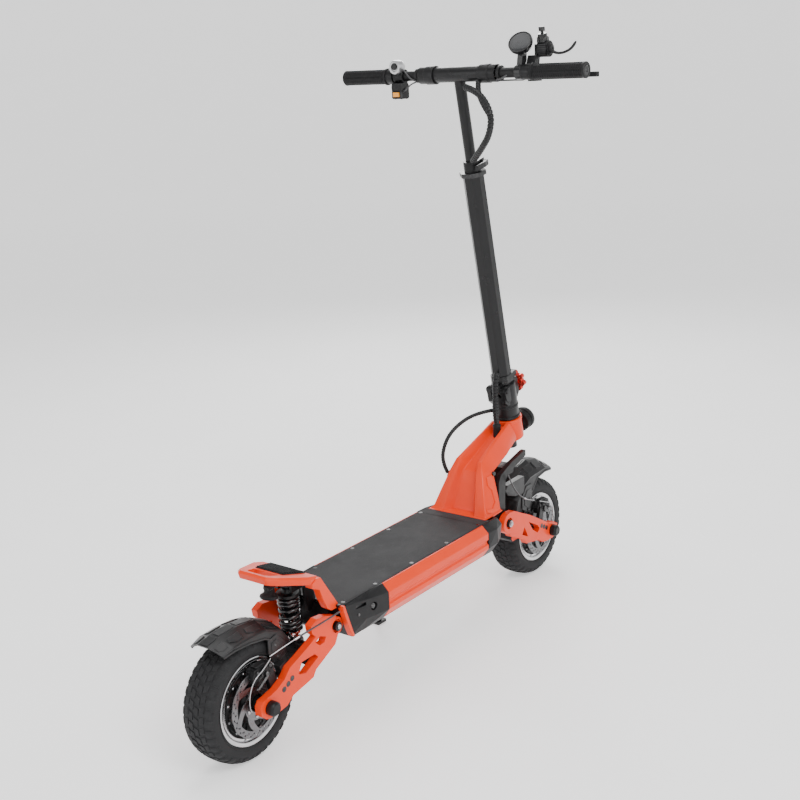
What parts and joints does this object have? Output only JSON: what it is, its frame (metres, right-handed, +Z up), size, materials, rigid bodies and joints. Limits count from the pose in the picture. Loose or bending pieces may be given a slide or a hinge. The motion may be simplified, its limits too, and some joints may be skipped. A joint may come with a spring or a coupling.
{
  "type": "electric kick scooter",
  "caption": "Folding stand-up electric kick scooter with hub motor wheels on sprung swing arms, a low deck, a rear kickplate and a telescopic, folding handlebar.",
  "frame": {"origin": "on the ground, midway between the two wheel axles, in the wheels' centre plane", "axes": "+X towards the front wheel, +Y to the rider's left, +Z up"},
  "size_m": [1.335, 0.638, 1.3671],
  "materials": {
    "orange_paint": "gloss orange-red powder coat",
    "black_paint": "satin black powder coat",
    "black_plastic": "moulded black plastic with faceted planes",
    "deck_mat": "fine grained dark grey grip mat",
    "tyre_rubber": "block tread pneumatic tyre",
    "grip_rubber": "soft ribbed rubber",
    "motor_black": "satin black motor drum, bright rim lips",
    "steel": "turned steel",
    "disc_steel": "ground and drilled brake disc",
    "battery_film": "shrink film over the cell pack",
    "red_anodised": "red anodised star knob",
    "silver": "satin silver cast aluminium",
    "spring_black": "gloss black coated spring wire",
    "loom_wrap": "spiral wrap over the wires",
    "cable_skin": "grey cable housing",
    "button_amber": "amber push button",
    "button_black": "black push button",
    "chrome_rod": "chromed damper rod"
  },
  "bodies": {
    "chassis": {"deck_tray": "black_paint", "deck_plate": "deck_mat", "side_panels": "orange_paint", "corner_caps": "black_plastic", "battery_and_controllers": "battery_film", "rear_frame": "orange_paint", "kickplate": "orange_paint", "kickplate_pad": "grip_rubber", "neck_frame": "orange_paint", "bolts_and_bearings": "steel", "headlight": "black_plastic", "neck_loom": "loom_wrap", "rear_brake_cable": "cable_skin"},
    "fork": {"fork": "black_paint", "stem_base": "black_paint", "front_brake_cable": "cable_skin"},
    "fold_knob": {"fold_knob": "red_anodised"},
    "stem": {"stem_tube": "black_paint", "stem_collar": "black_paint", "bar_loom": "loom_wrap"},
    "clamp_lever": {"clamp_lever": "black_paint"},
    "bar_tee": {"bar_tee": "black_paint"},
    "sleeve_left": {"sleeve_left": "black_paint"},
    "sleeve_right": {"sleeve_right": "black_paint"},
    "left_bar": {"bar_left": "black_paint", "grip_left": "grip_rubber", "perch_left": "black_plastic", "switch_cluster": "silver"},
    "brake_lever_left": {"brake_lever_left": "black_paint"},
    "horn_button": {"horn_button": "button_black"},
    "light_button": {"light_button": "button_amber"},
    "right_bar": {"bar_right": "black_paint", "grip_right": "grip_rubber", "perch_right": "black_plastic", "throttle_body": "black_plastic", "display_and_key_switch": "black_plastic"},
    "brake_lever_right": {"brake_lever_right": "black_paint"},
    "throttle_lever": {"throttle_lever": "black_plastic"},
    "key": {"key": "steel"},
    "rear_arm": {"rear_swingarm": "orange_paint", "rear_axle": "steel", "rear_mudguard": "black_plastic", "rear_caliper": "black_paint"},
    "rear_wheel": {"rear_tyre": "tyre_rubber", "rear_rim": "motor_black", "rear_rotor": "disc_steel"},
    "rear_shock": {"rear_shock_body": "black_paint", "rear_spring": "spring_black"},
    "rear_shock_rod": {"rear_shock_rod": "chrome_rod"},
    "front_arm": {"front_swingarm": "orange_paint", "front_axle": "steel", "front_mudguard": "black_plastic", "front_caliper": "black_paint"},
    "front_wheel": {"front_tyre": "tyre_rubber", "front_rim": "motor_black", "front_rotor": "disc_steel"},
    "front_shock": {"front_shock_body": "black_paint", "front_spring": "spring_black"},
    "front_shock_rod": {"front_shock_rod": "chrome_rod"},
    "kickstand": {"kickstand": "black_plastic"}
  },
  "joints": [
    {"name": "steering", "type": "hinge", "parent": "chassis", "child": "fork", "pos_m": [0.4615, 0, 0.442], "axis": [-0.2079, 0, 0.9781], "range_deg": [-45, 45], "deforming": ["neck_loom"]},
    {"name": "knob_turn", "type": "hinge", "parent": "fork", "child": "fold_knob", "pos_m": [0.50522, 0, 0.5249], "axis": [0.9781, 0, 0.2079], "continuous": true},
    {"name": "stem_fold", "type": "hinge", "parent": "fork", "child": "stem", "pos_m": [0.4186, 0, 0.51876], "axis": [0, -1, 0], "range_deg": [0, 78]},
    {"name": "clamp_lever_turn", "type": "hinge", "parent": "stem", "child": "clamp_lever", "pos_m": [0.35283, -0.02, 1.07831], "axis": [-0.2079, 0, 0.9781], "range_deg": [0, 100]},
    {"name": "bar_height", "type": "slide", "parent": "stem", "child": "bar_tee", "axis": [-0.2079, 0, 0.9781], "range_m": [-0.16, 0], "deforming": ["bar_loom"]},
    {"name": "bar_fold_left", "type": "hinge", "parent": "bar_tee", "child": "left_bar", "pos_m": [0.28436, 0.096, 1.27538], "axis": [-1, 0, 0], "range_deg": [0, 90]},
    {"name": "bar_fold_right", "type": "hinge", "parent": "bar_tee", "child": "right_bar", "pos_m": [0.28436, -0.096, 1.27538], "axis": [1, 0, 0], "range_deg": [0, 90]},
    {"name": "sleeve_slide_left", "type": "slide", "parent": "bar_tee", "child": "sleeve_left", "axis": [0, -1, 0], "range_m": [0, 0.024]},
    {"name": "sleeve_slide_right", "type": "slide", "parent": "bar_tee", "child": "sleeve_right", "axis": [0, 1, 0], "range_m": [0, 0.024]},
    {"name": "brake_lever_left_pull", "type": "hinge", "parent": "left_bar", "child": "brake_lever_left", "pos_m": [0.31836, 0.184, 1.26538], "axis": [0, 0, 1], "range_deg": [0, 14], "stiffness_Nm_per_rad": 1.2, "springref_deg": -17.19},
    {"name": "brake_lever_right_pull", "type": "hinge", "parent": "right_bar", "child": "brake_lever_right", "pos_m": [0.31836, -0.178, 1.26538], "axis": [0, 0, -1], "range_deg": [0, 14], "stiffness_Nm_per_rad": 1.2, "springref_deg": -17.19},
    {"name": "horn_button_press", "type": "slide", "parent": "left_bar", "child": "horn_button", "axis": [1, 0, 0], "range_m": [0, 0.003], "stiffness_N_per_m": 600, "springref_m": -0.002},
    {"name": "light_button_press", "type": "slide", "parent": "left_bar", "child": "light_button", "axis": [1, 0, 0], "range_m": [0, 0.0025], "stiffness_N_per_m": 600, "springref_m": -0.002},
    {"name": "throttle_press", "type": "hinge", "parent": "right_bar", "child": "throttle_lever", "pos_m": [0.31436, -0.21, 1.32138], "axis": [0, -1, 0], "range_deg": [0, 35], "stiffness_Nm_per_rad": 0.15, "springref_deg": -17.19},
    {"name": "key_turn", "type": "hinge", "parent": "right_bar", "child": "key", "pos_m": [0.31036, -0.2, 1.33738], "axis": [-0.1961, 0, 0.9806], "range_deg": [0, 90]},
    {"name": "rear_arm_travel", "type": "hinge", "parent": "chassis", "child": "rear_arm", "pos_m": [-0.333, 0, 0.213], "axis": [0, 1, 0], "range_deg": [0, 10], "stiffness_Nm_per_rad": 150, "springref_deg": -15.47, "deforming": ["rear_brake_cable"]},
    {"name": "rear_wheel_spin", "type": "hinge", "parent": "rear_arm", "child": "rear_wheel", "pos_m": [-0.54, 0, 0.1275], "axis": [0, 1, 0], "continuous": true},
    {"name": "rear_shock_tilt", "type": "hinge", "parent": "chassis", "child": "rear_shock", "pos_m": [-0.386, 0, 0.305], "axis": [0, 1, 0], "range_deg": [0, 1.87]},
    {"name": "rear_shock_stroke", "type": "slide", "parent": "rear_shock", "child": "rear_shock_rod", "axis": [-0.0504, 0, 0.9987], "range_m": [0, 0.00888], "deforming": ["rear_spring"]},
    {"name": "front_arm_travel", "type": "hinge", "parent": "fork", "child": "front_arm", "pos_m": [0.333, 0, 0.213], "axis": [0, -1, 0], "range_deg": [0, 10], "stiffness_Nm_per_rad": 150, "springref_deg": -15.47, "deforming": ["front_brake_cable"]},
    {"name": "front_wheel_spin", "type": "hinge", "parent": "front_arm", "child": "front_wheel", "pos_m": [0.54, 0, 0.1275], "axis": [0, 1, 0], "continuous": true},
    {"name": "front_shock_tilt", "type": "hinge", "parent": "fork", "child": "front_shock", "pos_m": [0.386, 0, 0.305], "axis": [0, 1, 0], "range_deg": [-1.87, 0]},
    {"name": "front_shock_stroke", "type": "slide", "parent": "front_shock", "child": "front_shock_rod", "axis": [0.0504, 0, 0.9987], "range_m": [0, 0.00888], "deforming": ["front_spring"]},
    {"name": "kickstand_swing", "type": "hinge", "parent": "chassis", "child": "kickstand", "pos_m": [0.06, 0.0743, 0.158], "axis": [0, 1, 0], "range_deg": [0, 85]}
  ],
  "couplings": [
    {"joint": "rear_shock_tilt", "follows": "rear_arm_travel", "ratio": 0.18356},
    {"joint": "rear_shock_stroke", "follows": "rear_arm_travel", "m_per_rad": 0.049872},
    {"joint": "front_shock_tilt", "follows": "front_arm_travel", "ratio": -0.18356},
    {"joint": "front_shock_stroke", "follows": "front_arm_travel", "m_per_rad": 0.049872},
    {"joint": "sleeve_slide_left", "follows": "bar_fold_left", "m_per_rad": 0.015264},
    {"joint": "sleeve_slide_right", "follows": "bar_fold_right", "m_per_rad": 0.015264}
  ]
}
